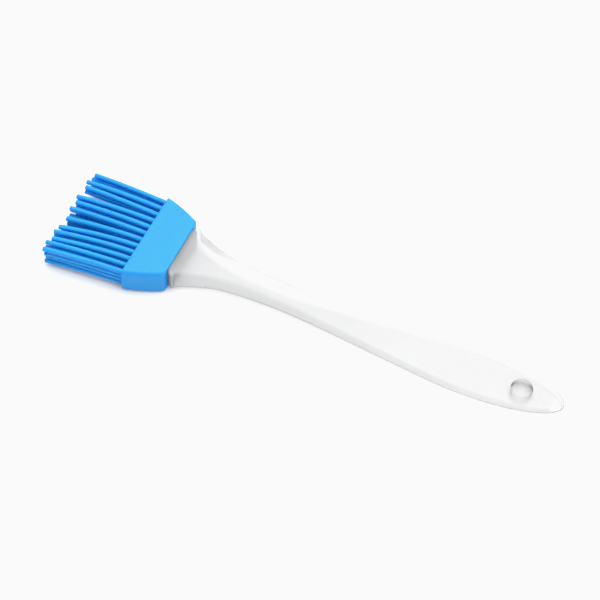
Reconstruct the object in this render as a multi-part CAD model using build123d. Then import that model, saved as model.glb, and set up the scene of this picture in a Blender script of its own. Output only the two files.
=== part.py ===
from build123d import *
import math
import os

# Silicone pastry brush lying flat, in millimetres.
# +X runs along the brush to the hanging end, +Y across its width, +Z up through its thickness.
# The origin is below the middle of the whole brush, on the surface that the sleeve rests on.

# Overall
brush_length = 175.0
bristle_length = 28.6               # longest bristle, from the sleeve's mouth to its tip
mouth_x = bristle_length - brush_length / 2
end_x = brush_length / 2

# Silicone sleeve that carries the bristles
sleeve_length = 12.9
mouth_half_width = 17.3
back_half_width = 12.2
sleeve_side_bulge = 0.45            # how far the long sides bow out from straight
sleeve_thickness = 10.0
sleeve_edge_radius = 1.4            # along the four long edges
sleeve_corner_radius = 1.8          # at the two back corners, seen from above
mouth_lip = 1.05                    # wall above and below the recess that the bristles rise from
mouth_side_lip = 0.75
recess_depth = 0.875
recess_taper = 20.0                 # degrees
recess_corner_radius = 0.9
web_thickness = 1.6                 # between the recess and the socket
back_x = mouth_x + sleeve_length
mid_z = sleeve_thickness / 2

# Handle and its tongue, which fills the sleeve's socket
tongue_half_width = 9.5
tongue_half_thickness = 3.9
tongue_end_gap = 0.3
tongue_corner_radius = 2.0
tongue_root = 1.0                   # how far the tongue runs on into the shoulder
socket_clearance = 0.12
shoulder_gap = 0.3                  # between the sleeve's back and the handle's shoulder
shoulder_x = back_x + shoulder_gap
shoulder_half_width = 11.3
shoulder_corner_radius = 1.5
shoulder_flare = (13.0, 6.6)        # first control point of the neck's curve: beyond the sleeve, and half-width
neck_x = mouth_x + 47.4
neck_half_width = 4.6
neck_lead_in = 24.5                 # lengths of the curves' handles before and after the neck and the belly
neck_lead_out = 18.0
belly_x = mouth_x + 111.6
belly_half_width = 9.2
belly_lead_in = 11.0
belly_lead_out = 25.0
end_lead = 3.2
end_half_thickness = 1.4
thinning_start = (20.0, 3.3)        # control points of the thinning: beyond the sleeve, and half-thickness
thinning_end = (45.0, 1.8)
past_end = 5.0                      # the side profile runs on past the tip
handle_edge_radius = 1.2
hole_radius = 3.5
hole_x = mouth_x + 132.1
oversize = 15.0                     # more than the handle's half-width, for cutting tools

# Bristles, in rows through the thickness
row_count = 4
row_pitch = 1.95
bristles_per_row = 12
bristle_root_radius = 0.85
bristle_tip_radius = 0.82
root_half_span = 15.6               # centre of the outermost bristle at its root
tip_half_span = 17.2                # and at its tip
tip_steps = (0.9, 0.2, 1.3, 0.5, 0.0, 1.1, 0.3, 0.8, 1.5, 0.4, 1.0, 0.1)  # how much shorter than the longest
steps_per_row = 5                   # each row starts this far along the list


def slab(outline, low, high):
    """An outline in the XY plane, pulled up from one height to another."""
    return Pos(0, 0, low) * extrude(outline, high - low)


def side_slab(outline, half_width):
    """An outline drawn as X against height, pulled across the whole width."""
    return Pos(0, half_width, 0) * extrude(Plane.XZ * outline, 2 * half_width)


def mirrored_face(half_line, mirror_plane):
    """A closed face from one half of its outline."""
    return make_face(Curve() + half_line + mirror(half_line, mirror_plane))


def handle_plan():
    """Half the handle seen from above, without its tongue: shoulder, narrow neck, wide belly and rounded end."""
    half = Curve() + [
        Line((shoulder_x, 0), (shoulder_x, shoulder_half_width)),
        Bezier((shoulder_x, shoulder_half_width), (back_x + shoulder_flare[0], shoulder_flare[1]),
               (neck_x - neck_lead_in, neck_half_width), (neck_x, neck_half_width)),
        Bezier((neck_x, neck_half_width), (neck_x + neck_lead_out, neck_half_width),
               (belly_x - belly_lead_in, belly_half_width), (belly_x, belly_half_width)),
        Bezier((belly_x, belly_half_width), (belly_x + belly_lead_out, belly_half_width),
               (end_x, end_lead), (end_x, 0)),
    ]
    return mirrored_face(half, Plane.XZ)


def handle_profile():
    """Half the handle seen from the side: as thick as the tongue, thinning to a flat end."""
    last_x = end_x + past_end
    half = Curve() + [
        Line((back_x, 0), (back_x, tongue_half_thickness)),
        Bezier((back_x, tongue_half_thickness), (back_x + thinning_start[0], thinning_start[1]),
               (back_x + thinning_end[0], thinning_end[1]), (last_x, end_half_thickness)),
        Line((last_x, end_half_thickness), (last_x, 0)),
    ]
    return mirrored_face(half, Plane.XZ)


def plug(front_x, rear_x, margin):
    """The tongue's shape grown by a margin: round front corners, rounded long edges and an open rear."""
    length = rear_x - front_x
    half_width = tongue_half_width + margin
    half_thickness = tongue_half_thickness + margin
    block = Box(length, 2 * half_width, 2 * half_thickness, align=(Align.MIN, Align.CENTER, Align.CENTER))
    front = block.edges().filter_by(Axis.Z).sort_by(Axis.X)[:2]
    block = fillet(front, tongue_corner_radius)
    rims = block.edges().filter_by(Axis.Z, reverse=True).filter_by_position(Axis.X, -margin, length * 0.99)
    return Pos(front_x, 0, 0) * fillet(rims, handle_edge_radius)


def handle():
    depth = 2 * tongue_half_thickness
    grip = slab(handle_plan(), -depth, depth) & side_slab(handle_profile(), oversize)
    corners = grip.edges().filter_by(Axis.Z).sort_by(Axis.X)[:2]
    grip = fillet(corners, shoulder_corner_radius)
    rims = grip.edges().filter_by(Axis.Z, reverse=True)
    grip = fillet(rims, handle_edge_radius)
    tongue_front_x = mouth_x + recess_depth + web_thickness + tongue_end_gap
    body = grip + plug(tongue_front_x, shoulder_x + tongue_root, 0)
    body -= Pos(hole_x, 0, 0) * Cylinder(hole_radius, oversize)
    return Pos(0, 0, mid_z) * body


def sleeve_block():
    """The sleeve's outside: a straight mouth, sides that close in, and a straight back."""
    mid_x = (mouth_x + back_x) / 2
    mid_y = (mouth_half_width + back_half_width) / 2 + sleeve_side_bulge
    half = Curve() + [
        Line((mouth_x, 0), (mouth_x, mouth_half_width)),
        ThreePointArc((mouth_x, mouth_half_width), (mid_x, mid_y), (back_x, back_half_width)),
        Line((back_x, back_half_width), (back_x, 0)),
    ]
    return slab(mirrored_face(half, Plane.XZ), -sleeve_thickness / 2, sleeve_thickness / 2)


def sleeve():
    sharp = sleeve_block()
    back_corners = sharp.edges().filter_by(Axis.Z).sort_by(Axis.X)[-2:]
    rounded_in_plan = fillet(back_corners, sleeve_corner_radius)
    long_edges = sharp.edges().filter_by(GeomType.CIRCLE)
    block = fillet(long_edges, sleeve_edge_radius) & rounded_in_plan
    recess = RectangleRounded(2 * (mouth_half_width - mouth_side_lip), sleeve_thickness - 2 * mouth_lip,
                              recess_corner_radius)
    mouth = Plane(origin=(mouth_x, 0, 0), x_dir=(0, 1, 0), z_dir=(1, 0, 0))
    block -= extrude(mouth * recess, recess_depth, taper=recess_taper)
    block -= plug(mouth_x + recess_depth + web_thickness, back_x + tongue_root, socket_clearance)
    return Pos(0, 0, mid_z) * block


def row_height(row):
    """Height of a row's roots. Row 1 is the lowest."""
    return mid_z + row_pitch * (row - (row_count + 1) / 2)


def bristle(row, column):
    """One tapered bristle with a ball root in the recess and a flat cut tip, fanned out from the middle."""
    across = 2 * (column - 1) / (bristles_per_row - 1) - 1
    root = Vector(mouth_x, across * root_half_span, row_height(row))
    shorter = tip_steps[(column - 1 + steps_per_row * (row - 1)) % len(tip_steps)]
    tip = Vector(mouth_x - bristle_length + shorter, across * tip_half_span, row_height(row))
    run = tip - root
    ball = bristle_root_radius
    half = Curve() + [
        ThreePointArc((0, -ball), (ball * math.sqrt(0.5), -ball * math.sqrt(0.5)), (ball, 0)),
        Line((ball, 0), (bristle_tip_radius, run.length)),
        Line((bristle_tip_radius, run.length), (0, run.length)),
        Line((0, run.length), (0, -ball)),
    ]
    rod = revolve(Plane.XZ * make_face(half), Axis.Z)
    return Plane(origin=root, z_dir=run) * rod


os.makedirs("parts", exist_ok=True)
export_step(handle(), "parts/handle.step")
export_step(sleeve(), "parts/sleeve.step")
for row_number in range(1, row_count + 1):
    for column_number in range(1, bristles_per_row + 1):
        name = f"bristle_{row_number}_{column_number:02d}"
        export_step(bristle(row_number, column_number), f"parts/{name}.step")
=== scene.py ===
import bpy
import bmesh
import math
import numpy as np
from mathutils import Matrix, Vector


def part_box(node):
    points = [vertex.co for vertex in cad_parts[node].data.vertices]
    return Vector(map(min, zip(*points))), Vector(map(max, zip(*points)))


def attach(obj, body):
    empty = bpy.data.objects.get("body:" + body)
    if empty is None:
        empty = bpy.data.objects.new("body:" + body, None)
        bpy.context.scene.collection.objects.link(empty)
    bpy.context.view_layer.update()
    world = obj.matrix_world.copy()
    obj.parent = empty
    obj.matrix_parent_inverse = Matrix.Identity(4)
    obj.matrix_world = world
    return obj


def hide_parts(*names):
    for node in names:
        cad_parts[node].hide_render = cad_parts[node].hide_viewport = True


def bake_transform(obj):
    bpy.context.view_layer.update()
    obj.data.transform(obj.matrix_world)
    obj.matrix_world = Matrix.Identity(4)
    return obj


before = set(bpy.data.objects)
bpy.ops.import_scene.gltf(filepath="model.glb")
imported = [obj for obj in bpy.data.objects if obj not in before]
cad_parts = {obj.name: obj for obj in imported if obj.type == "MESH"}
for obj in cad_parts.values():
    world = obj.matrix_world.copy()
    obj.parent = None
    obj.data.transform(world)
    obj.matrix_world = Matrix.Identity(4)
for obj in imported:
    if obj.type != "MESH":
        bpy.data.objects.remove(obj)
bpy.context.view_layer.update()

# Sizes in metres, in the frame of the CAD model: +X to the hanging end, +Y across, +Z up.
MM = 0.001
sleeve_low, sleeve_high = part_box("sleeve")
handle_low, handle_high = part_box("handle")
mouth_x = sleeve_low.x
back_x = sleeve_high.x
end_x = handle_high.x
mid_z = (sleeve_low.z + sleeve_high.z) / 2

# Sleeve
mouth_half_width = sleeve_high.y
back_half_width = 12.2 * MM
sleeve_half_thickness = sleeve_high.z - mid_z
side_bulge = 0.45 * MM
long_edge_radius = 1.4 * MM
back_corner_radius = 1.8 * MM
back_rim = 0.5 * MM
mouth_bevel = 0.3 * MM
mouth_lip = 1.05 * MM
mouth_side_lip = 0.75 * MM
recess_depth = 0.875 * MM
recess_corner_radius = 0.9 * MM
web_thickness = 1.6 * MM
socket_floor_x = mouth_x + recess_depth + web_thickness
socket_gap = 0.12 * MM
socket_corner_radius = 1.3 * MM
socket_rounding = 1.0 * MM      # the socket closes in by socket_floor_inset over its last stretch
socket_floor_inset = 0.3 * MM
# The recess from its floor to its edge: how deep, and how far inside the lip
recess_profile = ((recess_depth, 0.32 * MM), (recess_depth - 0.12 * MM, 0.27 * MM), (mouth_bevel, 0.06 * MM),
                  (0.3 * mouth_bevel, -0.02 * MM), (0.0, -0.12 * MM))

# Handle, seen from above. A lead is the length of a curve's handle beside a point.
shoulder_half_width = handle_high.y
shoulder_x = back_x + 0.3 * MM
shoulder_radius = 1.5 * MM
shoulder_clear = 0.3 * MM       # where the neck's curve takes over from the rounded corner
neck_flare = (13.0 * MM, 6.6 * MM)
neck_x = mouth_x + 47.4 * MM
neck_half_width = 4.6 * MM
neck_lead_in = 24.5 * MM
neck_lead_out = 18.0 * MM
belly_x = mouth_x + 111.6 * MM
belly_half_width = 9.2 * MM
belly_lead_in = 11.0 * MM
belly_lead_out = 25.0 * MM
end_lead = 3.2 * MM
hole_x = mouth_x + 132.1 * MM
hole_radius = 3.5 * MM
hole_rim = 0.35 * MM
hole_patch = 4.6 * MM

# Handle, seen from the side
tongue_half_thickness = handle_high.z - mid_z
thinning_start = (20.0 * MM, 3.3 * MM)
thinning_end = (45.0 * MM, 1.8 * MM)
past_end = 5.0 * MM
end_half_thickness = 1.4 * MM
parting_line = 0.03 * MM
shoulder_edge = 0.35 * MM       # radius of the long edges at the shoulder, then along the grip
grip_edge = 1.15 * MM
neck_extra_edge = 0.75 * MM     # added in the neck
neck_extra_reach = 26.0 * MM
edge_growth = 4.0 * MM

# Tongue
tongue_root = 1.0 * MM
tongue_half_width = 9.5 * MM
tongue_front_x = handle_low.x
tongue_corner_radius = 2.0 * MM
tongue_edge = 1.25 * MM
tongue_nose = 0.9 * MM
tongue_run_in = 3.0 * MM        # behind the sleeve's back, where the tongue's straight part is cut across

# Bristles
row_count = 4
bristles_per_row = 12
root_radius = 0.85 * MM
tip_radius = 0.82 * MM
root_half_span = 15.6 * MM
tip_half_span = 17.2 * MM
root_sink = 0.1 * MM
root_flare = 0.22 * MM
root_flare_reach = 0.28 * MM
nose = 0.14 * MM
nose_angles = (30, 60, 90)
droop = 1.1 * MM
sway_power = 1.6                # above 1, a bristle leans more towards its tip
# in mm, from the near side on
top_row_sway = (-0.8, -1.0, -2.0, -2.3, -3.1, -2.0, -0.9, -1.0, -1.85, -0.2, -1.2, -0.6)
mean_sway = -0.9 * MM
sway_spread = 1.0 * MM
edge_sway = 0.8 * MM            # the most that an outermost bristle leans out
least_spacing = 1.75 * MM
sway_seed = 11
settling_rounds = 60

# Mesh density
curve_points = 60
taper_points = 200
taper_stride = 4
end_points = 44                 # the last points of the taper, which round off the end
profile_points = 200
across_steps = 16
corner_turn_steps = 8
edge_steps = 9
hole_steps = 48
hole_rim_steps = 6
loop_corner_steps = 9
loop_top_steps = 26
loop_side_steps = 8
sleeve_side_steps = 12
back_turn_steps = 8
tongue_nose_steps = 8
hole_bridge = (0.3, 0.6, 0.85)  # shares of the way from the rows of quads to the hole
hole_margin = 1.04              # how far outside the hole the last ring would lie
bristle_steps = 40
bristle_sides = 20

# Handle material
thick_opacity = 0.39            # of the shoulder and neck
thin_opacity = 0.34             # from the belly to the end
# opacity along the painted edge shade, so that its dark colour shows
painted_edge_opacity = 0.9
scatter_depth = 1.5 * MM

# Light and camera
world_strength = 1.3
horizon_colour = (0.10, 0.103, 0.11, 1)
zenith_colour = (0.9, 0.9, 0.9, 1)
lamp_energy = 13.2
lamp_size = (1.2, 1.0)
lamp_place = Vector((0.10, 0.30, 0.85))
floor_half_width = 3.0
floor_drop = 0.02 * MM
floor_touch = 3.0 * MM          # from the handle's tip back to where it meets the table
exposed_curve = ((0.0, 0.0), (0.75, 0.77), (1.0, 0.956))
camera_azimuth = math.radians(21.84)
camera_elevation = math.radians(54.62)
camera_roll = math.radians(3.31)
camera_distance = 644.6 * MM
camera_target = Vector((-3.73 * MM, 1.16 * MM, mid_z))
camera_lens = 120
camera_sensor = 36


# ---------------------------------------------------------------- geometry helpers

def cubic(points, count):
    """Points along one cubic span."""
    a, b, c, d = (np.array(p, float) for p in points)
    t = np.linspace(0, 1, count)[:, None]
    s = 1 - t
    return s**3 * a + 3 * s * s * t * b + 3 * s * t * t * c + t**3 * d


def arc(centre, radius, start, stop, count):
    """Points round a circle, with angles in degrees."""
    a = np.radians(np.linspace(start, stop, count))
    return np.stack([centre[0] + radius * np.cos(a), centre[1] + radius * np.sin(a)], -1)


def circle(count):
    """Points round a circle of radius 1, without a repeated last point."""
    return arc((0, 0), 1.0, 0, 360 - 360 / count, count)


def rounded_loop(x, half_width, half_height, radius):
    """A rounded rectangle across the brush, at one x."""
    y, z = half_width - radius, half_height - radius
    top = np.linspace(1, -1, loop_top_steps)[1:-1]
    side = np.linspace(1, -1, loop_side_steps)[1:-1]
    points = [*arc((y, z), radius, 0, 90, loop_corner_steps)]
    points += [(y * k, half_height) for k in top]
    points += [*arc((-y, z), radius, 90, 180, loop_corner_steps)]
    points += [(-half_width, z * k) for k in side]
    points += [*arc((-y, -z), radius, 180, 270, loop_corner_steps)]
    points += [(-y * k, -half_height) for k in top]
    points += [*arc((y, -z), radius, 270, 360, loop_corner_steps)]
    points += [(half_width, -z * k) for k in side]
    return [(x, py, mid_z + pz) for py, pz in points]


def new_object(name, bm, smooth_angle):
    """An object from a finished bmesh, smooth except where faces meet at more than the angle in degrees."""
    mesh = bpy.data.meshes.new(name)
    bmesh.ops.recalc_face_normals(bm, faces=bm.faces)
    bm.to_mesh(mesh)
    bm.free()
    for face in mesh.polygons:
        face.use_smooth = True
    mesh.set_sharp_from_angle(angle=math.radians(smooth_angle))
    obj = bpy.data.objects.new(name, mesh)
    bpy.context.scene.collection.objects.link(obj)
    return obj


def skin(bm, loops):
    """Quads between each closed loop and the next. Returns the rows of vertices."""
    rows = [[bm.verts.new(p) for p in loop] for loop in loops]
    for low, high in zip(rows, rows[1:]):
        for i in range(len(low)):
            j = (i + 1) % len(low)
            bm.faces.new((low[i], low[j], high[j], high[i]))
    return rows


def capped_skin(bm, loops):
    """The same, with a face over the first loop and the last."""
    rows = skin(bm, loops)
    bm.faces.new(rows[0])
    bm.faces.new(rows[-1])
    return rows


# ---------------------------------------------------------------- handle

def handle_outline():
    """The handle without its tongue, from above, as (x, y): front edge, upper side and rounded end.

    The lower side mirrors the upper one. The front edge and the end each have across_steps + 1 points.
    """
    corner = (shoulder_x + shoulder_radius, shoulder_half_width - shoulder_radius)
    front = np.linspace((shoulder_x, -corner[1]), (shoulder_x, corner[1]), across_steps + 1)
    turn = arc(corner, shoulder_radius, 180, 70, corner_turn_steps)[1:]
    neck = cubic([(back_x, shoulder_half_width), (back_x + neck_flare[0], neck_flare[1]),
                  (neck_x - neck_lead_in, neck_half_width), (neck_x, neck_half_width)], curve_points)
    neck = neck[neck[:, 0] > corner[0] + shoulder_clear]
    belly = cubic([(neck_x, neck_half_width), (neck_x + neck_lead_out, neck_half_width),
                   (belly_x - belly_lead_in, belly_half_width), (belly_x, belly_half_width)], curve_points)
    taper = cubic([(belly_x, belly_half_width), (belly_x + belly_lead_out, belly_half_width),
                   (end_x, end_lead), (end_x, 0)], taper_points)
    split = taper_points - end_points
    upper = np.vstack([turn, neck, belly[1:], taper[taper_stride:split:taper_stride]])
    half_end = taper[split:][::-1]
    steps = np.linspace(0, end_points - 1, across_steps // 2 + 1)
    picked = np.array([np.interp(steps, range(end_points), half_end[:, k]) for k in (0, 1)]).T
    end = np.vstack([picked[::-1], picked[1:] * (1, -1)])
    return front, upper, end


def half_thickness(x):
    """The handle is as thick as the socket at the tongue, and thins to a flat end."""
    profile = cubic([(back_x, tongue_half_thickness), (back_x + thinning_start[0], thinning_start[1]),
                     (back_x + thinning_end[0], thinning_end[1]), (end_x + past_end, end_half_thickness)],
                    profile_points)
    return np.interp(x, profile[:, 0], profile[:, 1])


def edge_radius(x):
    """The long edges are rounder in the neck, where fingers hold it, and crisp at the shoulder."""
    in_neck = np.exp(-((x - neck_x) / neck_extra_reach) ** 2)
    grown = np.clip((x - shoulder_x) / edge_growth, 0, 1)
    return shoulder_edge + (grip_edge + neck_extra_edge * in_neck - shoulder_edge) * grown


def outward_normals(loop):
    """Unit normals of a closed clockwise loop."""
    t = np.roll(loop, -1, axis=0) - np.roll(loop, 1, axis=0)
    n = np.stack([-t[:, 1], t[:, 0]], -1)
    return n / np.linalg.norm(n, axis=1)[:, None]


def build_handle():
    """The whole moulding: rounded edges, a wall with a fine parting line, flat faces, hole and tongue."""
    front, upper, end = handle_outline()
    outline = np.vstack([front, upper, end, upper[::-1] * (1, -1)])
    normals = outward_normals(outline)
    radius = edge_radius(outline[:, 0])
    wall = half_thickness(outline[:, 0]) - radius

    def edge_ring(phi, side):
        ring = outline - normals * (radius * (1 - math.cos(phi)))[:, None]
        return ring, side * (half_thickness(ring[:, 0]) - radius + radius * math.sin(phi))

    rounding = np.radians(np.linspace(90, 10, edge_steps))
    loops = [edge_ring(phi, -1) for phi in rounding]
    for share in (-1.0, -0.5, -0.1, 0.0, 0.1, 0.5, 1.0):
        loops.append((outline + normals * (parting_line if share == 0 else 0), share * wall))
    loops += [edge_ring(phi, 1) for phi in rounding[::-1]]
    bm = bmesh.new()
    rings = skin(bm, [[(p[0], p[1], mid_z + h) for p, h in zip(ring, heights)] for ring, heights in loops])
    hole = build_hole(bm)
    for ring, hole_ring, side in ((rings[0], hole[0], -1), (rings[-1], hole[-1], 1)):
        close_face(bm, ring, hole_ring, side, len(front), len(upper))
    build_tongue(bm)
    return new_object("handle_grip", bm, 60)


def build_tongue(bm):
    """The tongue that fills the sleeve's socket, from inside the shoulder forward to its rounded nose."""
    loops = [rounded_loop(x, tongue_half_width, tongue_half_thickness, tongue_edge)
             for x in (shoulder_x + tongue_root, shoulder_x, back_x - tongue_run_in)]
    for angle in np.radians(np.linspace(0, 90, tongue_nose_steps)):
        x = tongue_front_x + tongue_corner_radius * (1 - math.sin(angle))
        inset = tongue_corner_radius * (1 - math.cos(angle))
        half_height = tongue_half_thickness - 0.5 * min(inset, tongue_nose)
        loops.append(rounded_loop(x, tongue_half_width - inset, half_height, tongue_edge))
    capped_skin(bm, loops)


def build_hole(bm):
    """The wall of the hanging hole, with rounded rims."""
    half = float(half_thickness(hole_x))
    rounding = np.radians(np.linspace(90, 0, hole_rim_steps))
    levels = [(phi, -1) for phi in rounding] + [(phi, 1) for phi in rounding[::-1]]
    rings = []
    for phi, side in levels:
        ring = circle(hole_steps) * (hole_radius + hole_rim * (1 - math.cos(phi))) + (hole_x, 0)
        height = half_thickness(ring[:, 0]) * (half - hole_rim * (1 - math.sin(phi))) / half
        rings.append([(p[0], p[1], mid_z + side * h) for p, h in zip(ring, height)])
    return skin(bm, rings)


def face_point(bm, x, y, side):
    """A vertex on the handle's top (side 1) or bottom (side -1)."""
    return bm.verts.new((x, y, mid_z + side * float(half_thickness(x))))


def near_hole(v):
    return abs(v.co.x - hole_x) < hole_patch and abs(v.co.y) < hole_patch


def close_face(bm, ring, hole_ring, side, front_count, side_count):
    """Closes the top or bottom with rows of quads across the handle, and a round patch about the hole."""
    n = across_steps
    upper = ring[front_count:front_count + side_count]
    end = ring[front_count + side_count:2 * front_count + side_count][::-1]
    lower = ring[2 * front_count + side_count:][::-1]
    depth = max(v.co.x for v in end) - end[0].co.x
    rows = [ring[:front_count]]
    for low, high in zip(lower, upper):
        # rows near the end bow towards it
        bulge = depth * math.exp(-(end[0].co.x - high.co.x) / (4 * depth))
        between = [face_point(bm, high.co.x + bulge * (1 - u * u), high.co.y * u, side)
                   for u in np.linspace(-1, 1, n + 1)[1:-1]]
        rows.append([low, *between, high])
    rows.append(end)

    marked = [j for j, row in enumerate(rows) if any(near_hole(v) for v in row)]
    j0, j1 = marked[0] - 1, marked[-1] + 1
    k0 = min(k for j in marked for k, v in enumerate(rows[j]) if near_hole(v)) - 1
    k1 = n - k0
    for j in range(len(rows) - 1):
        for k in range(n):
            if not (j0 <= j < j1 and k0 <= k < k1):
                bm.faces.new((rows[j][k], rows[j][k + 1], rows[j + 1][k + 1], rows[j + 1][k]))
    for v in [rows[j][k] for j in range(j0 + 1, j1) for k in range(k0 + 1, k1)]:
        bm.verts.remove(v)
    rim = [rows[j0][k] for k in range(k0, k1)] + [rows[j][k1] for j in range(j0, j1)]
    rim += [rows[j1][k] for k in range(k1, k0, -1)] + [rows[j][k0] for j in range(j1, j0, -1)]
    bridge(bm, rim, hole_ring, side)


def bridge(bm, rim, hole_ring, side):
    """Rings of quads between the square gap in the rows and the hole, with triangles at the hole."""
    reach = hole_margin * math.hypot(hole_ring[0].co.x - hole_x, hole_ring[0].co.y)
    inner = rim
    for share in hole_bridge:
        made = []
        for v in rim:
            angle = math.atan2(v.co.y, v.co.x - hole_x)
            x = v.co.x + (hole_x + reach * math.cos(angle) - v.co.x) * share
            y = v.co.y + (reach * math.sin(angle) - v.co.y) * share
            made.append(face_point(bm, x, y, side))
        for i in range(len(rim)):
            j = (i + 1) % len(rim)
            bm.faces.new((inner[i], inner[j], made[j], made[i]))
        inner = made
    edges = [bm.edges.get((inner[i], inner[(i + 1) % len(inner)])) for i in range(len(inner))]
    edges += [bm.edges.get((hole_ring[i], hole_ring[(i + 1) % hole_steps])) for i in range(hole_steps)]
    bmesh.ops.bridge_loops(bm, edges=edges)


# ---------------------------------------------------------------- sleeve

def sleeve_half_width(x):
    """The sides close in towards the back, bowed out a little."""
    k = (x - mouth_x) / (back_x - mouth_x)
    return mouth_half_width + (back_half_width - mouth_half_width) * k + 4 * side_bulge * k * (1 - k)


def recess_loops():
    """The recess that the bristles rise from: floor, wall and lip."""
    return [rounded_loop(mouth_x + depth, mouth_half_width - mouth_side_lip - inset,
                         sleeve_half_thickness - mouth_lip - inset, recess_corner_radius)
            for depth, inset in recess_profile]


def bevel_loops():
    """The rounded outer edge of the mouth."""
    loops = []
    for angle in np.radians((90, 60, 30, 0)):
        x = mouth_x + mouth_bevel * (1 - math.sin(angle))
        inset = mouth_bevel * (1 - math.cos(angle))
        loops.append(rounded_loop(x, sleeve_half_width(x) - inset, sleeve_half_thickness - inset,
                                  long_edge_radius - inset))
    return loops


def outside_loops():
    """The long sides, the two back corners and the rim of the back face."""
    slope = math.atan2(mouth_half_width - back_half_width + 4 * side_bulge, back_x - mouth_x)
    reach = back_corner_radius / math.tan(math.radians(45) + slope / 2)
    corner_x, corner_y = back_x - back_corner_radius, back_half_width - reach
    sides_end = corner_x + back_corner_radius * math.sin(slope)
    loops = [rounded_loop(x, sleeve_half_width(x), sleeve_half_thickness, long_edge_radius)
             for x in np.linspace(mouth_x + 1.0 * MM, sides_end, sleeve_side_steps)]
    for a in np.linspace(slope, math.radians(80), back_turn_steps)[1:]:
        x = corner_x + back_corner_radius * math.sin(a)
        inset = max(0.0, x - (back_x - back_rim))
        drop = back_rim - math.sqrt(max(0.0, back_rim**2 - inset**2))
        loops.append(rounded_loop(x, corner_y + back_corner_radius * math.cos(a), sleeve_half_thickness - drop,
                                  long_edge_radius))
    loops.append(rounded_loop(back_x, corner_y, sleeve_half_thickness - back_rim, long_edge_radius - 0.2 * MM))
    return loops


def socket_loops():
    """The back face's opening, and the socket that the tongue fills."""
    open_y, open_z = tongue_half_width + socket_gap, tongue_half_thickness + socket_gap
    steps = ((back_x, 0.1 * MM), (back_x - 0.1 * MM, 0.0), (socket_floor_x + socket_rounding, 0.0),
             (socket_floor_x, -socket_floor_inset))
    return [rounded_loop(x, open_y + grow, open_z + grow, socket_corner_radius) for x, grow in steps]


def build_sleeve():
    bm = bmesh.new()
    capped_skin(bm, recess_loops() + bevel_loops() + outside_loops() + socket_loops())
    return new_object("silicone_sleeve", bm, 40)


# ---------------------------------------------------------------- bristles

def row_sways(row, rng):
    """How far each bristle's tip lies to the side of its place in the fan, from the near side on."""
    if row == row_count:
        return [s * MM for s in top_row_sway]
    sways = rng.normal(mean_sway, sway_spread, bristles_per_row)
    spacing = 2 * tip_half_span / (bristles_per_row - 1)
    for _ in range(settling_rounds):
        for i in range(bristles_per_row - 1):
            lack = least_spacing - (spacing + sways[i + 1] - sways[i])
            if lack > 0:
                sways[i] -= lack / 2
                sways[i + 1] += lack / 2
        sways[0] = max(sways[0], -edge_sway)
        sways[-1] = min(sways[-1], edge_sway)
    return list(sways)


def bristle_path(row, column, sway):
    """The centre line of one bristle, from the web to the tip."""
    low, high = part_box(f"bristle_{row}_{column:02d}")
    across = 2 * (column - 1) / (bristles_per_row - 1) - 1
    root_x = mouth_x + recess_depth - root_sink
    s = np.linspace(0, 1, bristle_steps)
    x = root_x + (low.x + nose - root_x) * s
    y = across * (root_half_span + (tip_half_span - root_half_span) * s) + sway * s**sway_power
    z = (low.z + high.z) / 2 - droop * s**2
    return np.stack([x, y, z], -1)


def build_bristle(row, column, sway):
    """A round bristle with a small flare at its root and a cut end, whose faces take the second material."""
    path = bristle_path(row, column, sway)
    tangent = np.gradient(path, axis=0)
    tangent /= np.linalg.norm(tangent, axis=1)[:, None]
    side = np.cross(tangent, (0, 0, 1))
    side /= np.linalg.norm(side, axis=1)[:, None]
    up = np.cross(side, tangent)
    length = np.concatenate([[0], np.cumsum(np.linalg.norm(np.diff(path, axis=0), axis=1))])
    flare = root_flare * np.exp(-length / root_flare_reach)
    radius = np.linspace(root_radius, tip_radius, bristle_steps) + flare
    ring = circle(bristle_sides)
    loops = [[p + r * (a * sv + b * uv) for a, b in ring] for p, sv, uv, r in zip(path, side, up, radius)]
    for angle in np.radians(nose_angles):
        centre = path[-1] + tangent[-1] * nose * math.sin(angle)
        r = radius[-1] - nose * (1 - math.cos(angle))
        loops.append([centre + r * (a * side[-1] + b * up[-1]) for a, b in ring])
    bm = bmesh.new()
    rows = capped_skin(bm, loops)
    tip = set(v for tip_row in rows[-1 - len(nose_angles):] for v in tip_row)
    for face in bm.faces:
        if all(v in tip for v in face.verts):
            face.material_index = 1
    return new_object(f"bristle_row{row}_{column:02d}", bm, 55)


# ---------------------------------------------------------------- materials

def new_material(name):
    material = bpy.data.materials.new(name)
    material.use_nodes = True
    nodes = material.node_tree.nodes
    return material, nodes, material.node_tree.links, nodes["Principled BSDF"]


def node(nodes, kind, **inputs):
    """A node with some inputs set. A low line in a key stands for a space in the input's name."""
    made = nodes.new(kind)
    for key, value in inputs.items():
        made.inputs[key.replace("_", " ")].default_value = value
    return made


def two_tone(nodes, dark, light):
    """A colour ramp across the middle of a noise."""
    ramp = nodes.new("ShaderNodeValToRGB")
    for element, position, colour in zip(ramp.color_ramp.elements, (0.3, 0.7), (dark, light)):
        element.position = position
        element.color = colour
    return ramp


def math_node(nodes, operation):
    made = nodes.new("ShaderNodeMath")
    made.operation = operation
    return made


def socket(sockets, identifier):
    return next(s for s in sockets if s.identifier == identifier)


def set_scatter(shader, weight, radius, scale):
    shader.inputs["Subsurface Weight"].default_value = weight
    shader.inputs["Subsurface Radius"].default_value = radius
    shader.inputs["Subsurface Scale"].default_value = scale


def add_grain(nodes, links, place, shader, scale, strength):
    """The fine skin of a moulded surface."""
    grain = node(nodes, "ShaderNodeTexNoise", Scale=scale, Detail=2.0)
    bump = node(nodes, "ShaderNodeBump", Strength=strength, Distance=0.04 * MM)
    links.new(place.outputs["Object"], grain.inputs["Vector"])
    links.new(grain.outputs["Fac"], bump.inputs["Height"])
    links.new(bump.outputs["Normal"], shader.inputs["Normal"])


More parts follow.
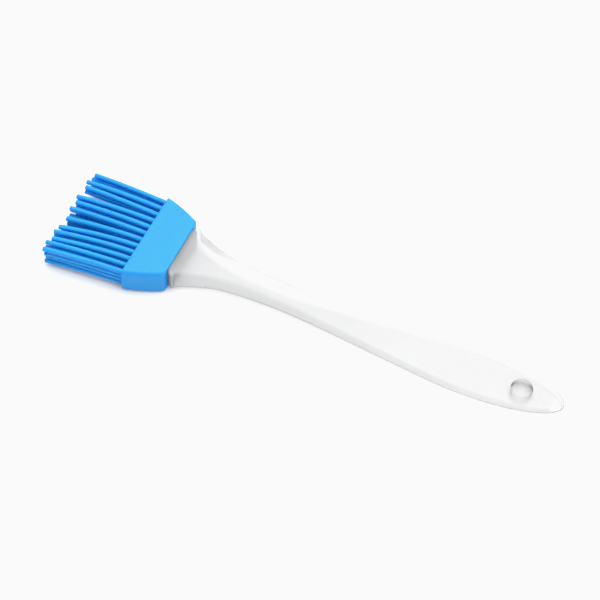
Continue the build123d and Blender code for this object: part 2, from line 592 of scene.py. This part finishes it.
def silicone(name, dark, light):
    """Satin silicone: faint cloudiness and a fine skin, with blue light soaking furthest."""
    material, nodes, links, shader = new_material(name)
    place = nodes.new("ShaderNodeTexCoord")
    cloud = node(nodes, "ShaderNodeTexNoise", Scale=60.0, Detail=3.0)
    ramp = two_tone(nodes, dark, light)
    rough = node(nodes, "ShaderNodeMapRange", To_Min=0.42, To_Max=0.52)
    links.new(place.outputs["Object"], cloud.inputs["Vector"])
    links.new(cloud.outputs["Fac"], ramp.inputs["Fac"])
    links.new(cloud.outputs["Fac"], rough.inputs["Value"])
    links.new(rough.outputs["Result"], shader.inputs["Roughness"])
    links.new(ramp.outputs["Color"], shader.inputs["Base Color"])
    add_grain(nodes, links, place, shader, 2600.0, 0.12)
    shader.inputs["IOR"].default_value = 1.41
    shader.inputs["Specular IOR Level"].default_value = 0.35
    set_scatter(shader, 0.8, (0.15, 0.5, 1.0), 1.6 * MM)
    return material


def painted_edge_shade(nodes, links, place):
    """Mask of the painted edge shade: where a curved edge turns away from the eye, as a value from 0 to 1.
    Flat faces stay at 0.
    """
    facing = node(nodes, "ShaderNodeLayerWeight", Blend=0.5)
    rim = node(nodes, "ShaderNodeMapRange", From_Min=0.42, From_Max=0.72)
    rim.interpolation_type = "SMOOTHSTEP"
    lie = nodes.new("ShaderNodeSeparateXYZ")
    upright = math_node(nodes, "ABSOLUTE")
    curved = node(nodes, "ShaderNodeMapRange", From_Min=0.90, From_Max=0.985, To_Min=1.0, To_Max=0.0)
    both = math_node(nodes, "MULTIPLY")
    links.new(facing.outputs["Facing"], rim.inputs["Value"])
    links.new(place.outputs["Normal"], lie.inputs["Vector"])
    links.new(lie.outputs["Z"], upright.inputs[0])
    links.new(upright.outputs[0], curved.inputs["Value"])
    links.new(rim.outputs["Result"], both.inputs[0])
    links.new(curved.outputs["Result"], both.inputs[1])
    return both.outputs[0]


def plastic_opacity(nodes, links, place, line, shader):
    """The thinner the handle, the clearer it is, except along the painted edge shade, where it turns nearly
    opaque.
    """
    split = nodes.new("ShaderNodeSeparateXYZ")
    dense = node(nodes, "ShaderNodeMapRange", From_Min=neck_x, From_Max=belly_x, To_Min=thick_opacity,
                 To_Max=thin_opacity)
    dense.interpolation_type = "SMOOTHSTEP"
    solid = nodes.new("ShaderNodeMix")
    socket(solid.inputs, "B_Float").default_value = painted_edge_opacity
    links.new(place.outputs["Object"], split.inputs["Vector"])
    links.new(split.outputs["X"], dense.inputs["Value"])
    links.new(line, socket(solid.inputs, "Factor_Float"))
    links.new(dense.outputs["Result"], socket(solid.inputs, "A_Float"))
    links.new(socket(solid.outputs, "Result_Float"), shader.inputs["Alpha"])


def frosted_plastic():
    """Natural translucent plastic: a milky body that light soaks through, under a satin skin, with painted
    shade darkening its curved edges where they turn away from the eye.
    """
    material, nodes, links, shader = new_material("frosted_plastic")
    place = nodes.new("ShaderNodeTexCoord")
    line = painted_edge_shade(nodes, links, place)
    plastic_opacity(nodes, links, place, line, shader)
    cloud = node(nodes, "ShaderNodeTexNoise", Scale=45.0, Detail=3.0)
    tint = two_tone(nodes, (0.47, 0.474, 0.48, 1), (0.50, 0.504, 0.51, 1))
    rough = node(nodes, "ShaderNodeMapRange", To_Min=0.30, To_Max=0.38)
    # Painted shade: dark grey mixed into the base colour along the edges that turn away from the eye, standing
    # in for the dark surroundings seen through them
    darker = nodes.new("ShaderNodeMix")
    darker.data_type = "RGBA"
    socket(darker.inputs, "B_Color").default_value = (0.20, 0.197, 0.193, 1)
    links.new(place.outputs["Object"], cloud.inputs["Vector"])
    links.new(cloud.outputs["Fac"], rough.inputs["Value"])
    links.new(cloud.outputs["Fac"], tint.inputs["Fac"])
    links.new(line, socket(darker.inputs, "Factor_Float"))
    links.new(tint.outputs["Color"], socket(darker.inputs, "A_Color"))
    links.new(rough.outputs["Result"], shader.inputs["Roughness"])
    links.new(socket(darker.outputs, "Result_Color"), shader.inputs["Base Color"])
    add_grain(nodes, links, place, shader, 1800.0, 0.08)
    shader.inputs["IOR"].default_value = 1.49
    set_scatter(shader, 1.0, (1.0, 1.0, 1.0), scatter_depth)
    return material


def paper():
    """Matt white studio paper with a faint fibre."""
    material, nodes, links, shader = new_material("studio_paper")
    place = nodes.new("ShaderNodeTexCoord")
    fibre = node(nodes, "ShaderNodeTexNoise", Scale=900.0, Detail=4.0)
    bump = node(nodes, "ShaderNodeBump", Strength=0.08, Distance=0.1 * MM)
    links.new(place.outputs["Object"], fibre.inputs["Vector"])
    links.new(fibre.outputs["Fac"], bump.inputs["Height"])
    links.new(bump.outputs["Normal"], shader.inputs["Normal"])
    shader.inputs["Base Color"].default_value = (0.85, 0.85, 0.85, 1)
    shader.inputs["Roughness"].default_value = 0.9
    shader.inputs["Specular IOR Level"].default_value = 0.2
    return material


# ---------------------------------------------------------------- studio

def build_floor():
    """The table that the sleeve's back edge and the handle's flat end both touch, so it leans a little."""
    touch_x = end_x - floor_touch
    slope = math.atan2(mid_z - end_half_thickness, touch_x - back_x)
    half = floor_half_width
    corners = [(-half, -half, 0), (half, -half, 0), (half, half, 0), (-half, half, 0)]
    mesh = bpy.data.meshes.new("floor")
    mesh.from_pydata(corners, [], [(0, 1, 2, 3)])
    mesh.materials.append(paper())
    floor = bpy.data.objects.new("floor", mesh)
    bpy.context.scene.collection.objects.link(floor)
    floor.matrix_world = Matrix.Translation((back_x, 0, -floor_drop)) @ Matrix.Rotation(-slope, 4, "Y")


def build_world():
    """A dim room, darker towards the horizon."""
    world = bpy.data.worlds.new("studio")
    bpy.context.scene.world = world
    world.use_nodes = True
    nodes, links = world.node_tree.nodes, world.node_tree.links
    background = nodes["Background"]
    place = nodes.new("ShaderNodeTexCoord")
    split = nodes.new("ShaderNodeSeparateXYZ")
    ramp = nodes.new("ShaderNodeValToRGB")
    for element, height, colour in zip(ramp.color_ramp.elements, (0.05, 0.6), (horizon_colour, zenith_colour)):
        element.position = height
        element.color = colour
    links.new(place.outputs["Generated"], split.inputs["Vector"])
    links.new(split.outputs["Z"], ramp.inputs["Fac"])
    links.new(ramp.outputs["Color"], background.inputs["Color"])
    background.inputs["Strength"].default_value = world_strength


def build_lamp():
    """One large soft lamp overhead, a little to the far side."""
    lamp = bpy.data.lights.new("softbox", "AREA")
    lamp.shape = "RECTANGLE"
    lamp.size, lamp.size_y = lamp_size
    lamp.energy = lamp_energy
    softbox = bpy.data.objects.new("softbox", lamp)
    bpy.context.scene.collection.objects.link(softbox)
    aim = (-lamp_place).to_track_quat("-Z", "Y")
    softbox.matrix_world = Matrix.Translation(lamp_place) @ aim.to_matrix().to_4x4()


def build_camera():
    """A long lens from above the near side of the handle's end, rolled a little."""
    level = math.cos(camera_elevation)
    back = Vector((math.sin(camera_azimuth) * level, -math.cos(camera_azimuth) * level,
                   math.sin(camera_elevation)))
    right = Vector((math.cos(camera_azimuth), math.sin(camera_azimuth), 0))
    up = back.cross(right)
    roll = Matrix.Rotation(camera_roll, 3, back)
    lens = bpy.data.cameras.new("camera")
    lens.lens = camera_lens
    lens.sensor_width = camera_sensor
    lens.clip_start = 0.01
    camera = bpy.data.objects.new("camera", lens)
    bpy.context.scene.collection.objects.link(camera)
    rotation = Matrix((roll @ right, roll @ up, back)).transposed().to_4x4()
    camera.matrix_world = Matrix.Translation(camera_target + back * camera_distance) @ rotation
    bpy.context.scene.camera = camera


def set_exposure():
    """A bright exposure whose whites level off softly just under full white."""
    view = bpy.context.scene.view_settings
    view.view_transform = "Standard"
    view.use_curve_mapping = True
    mapping = view.curve_mapping
    mapping.use_clip = True
    mapping.extend = "HORIZONTAL"
    combined = mapping.curves[3]
    combined.points[0].location = exposed_curve[0]
    combined.points[1].location = exposed_curve[-1]
    for place in exposed_curve[1:-1]:
        combined.points.new(*place)
    mapping.update()


# ---------------------------------------------------------------- assembly

blue = silicone("silicone", (0.005, 0.225, 0.60, 1), (0.007, 0.245, 0.64, 1))
cut_end = silicone("silicone_tip", (0.22, 0.45, 0.62, 1), (0.30, 0.52, 0.66, 1))
clear = frosted_plastic()

handle = build_handle()
handle.data.materials.append(clear)
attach(handle, "handle")
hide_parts("handle")

sleeve = build_sleeve()
sleeve.data.materials.append(blue)
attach(sleeve, "head")
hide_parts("sleeve")

rng = np.random.default_rng(sway_seed)
for row in range(1, row_count + 1):
    sways = row_sways(row, rng)
    for column in range(1, bristles_per_row + 1):
        piece = build_bristle(row, column, sways[column - 1])
        piece.data.materials.append(blue)
        piece.data.materials.append(cut_end)
        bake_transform(piece)
        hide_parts(f"bristle_{row}_{column:02d}")

build_floor()
build_world()
build_lamp()
build_camera()
set_exposure()
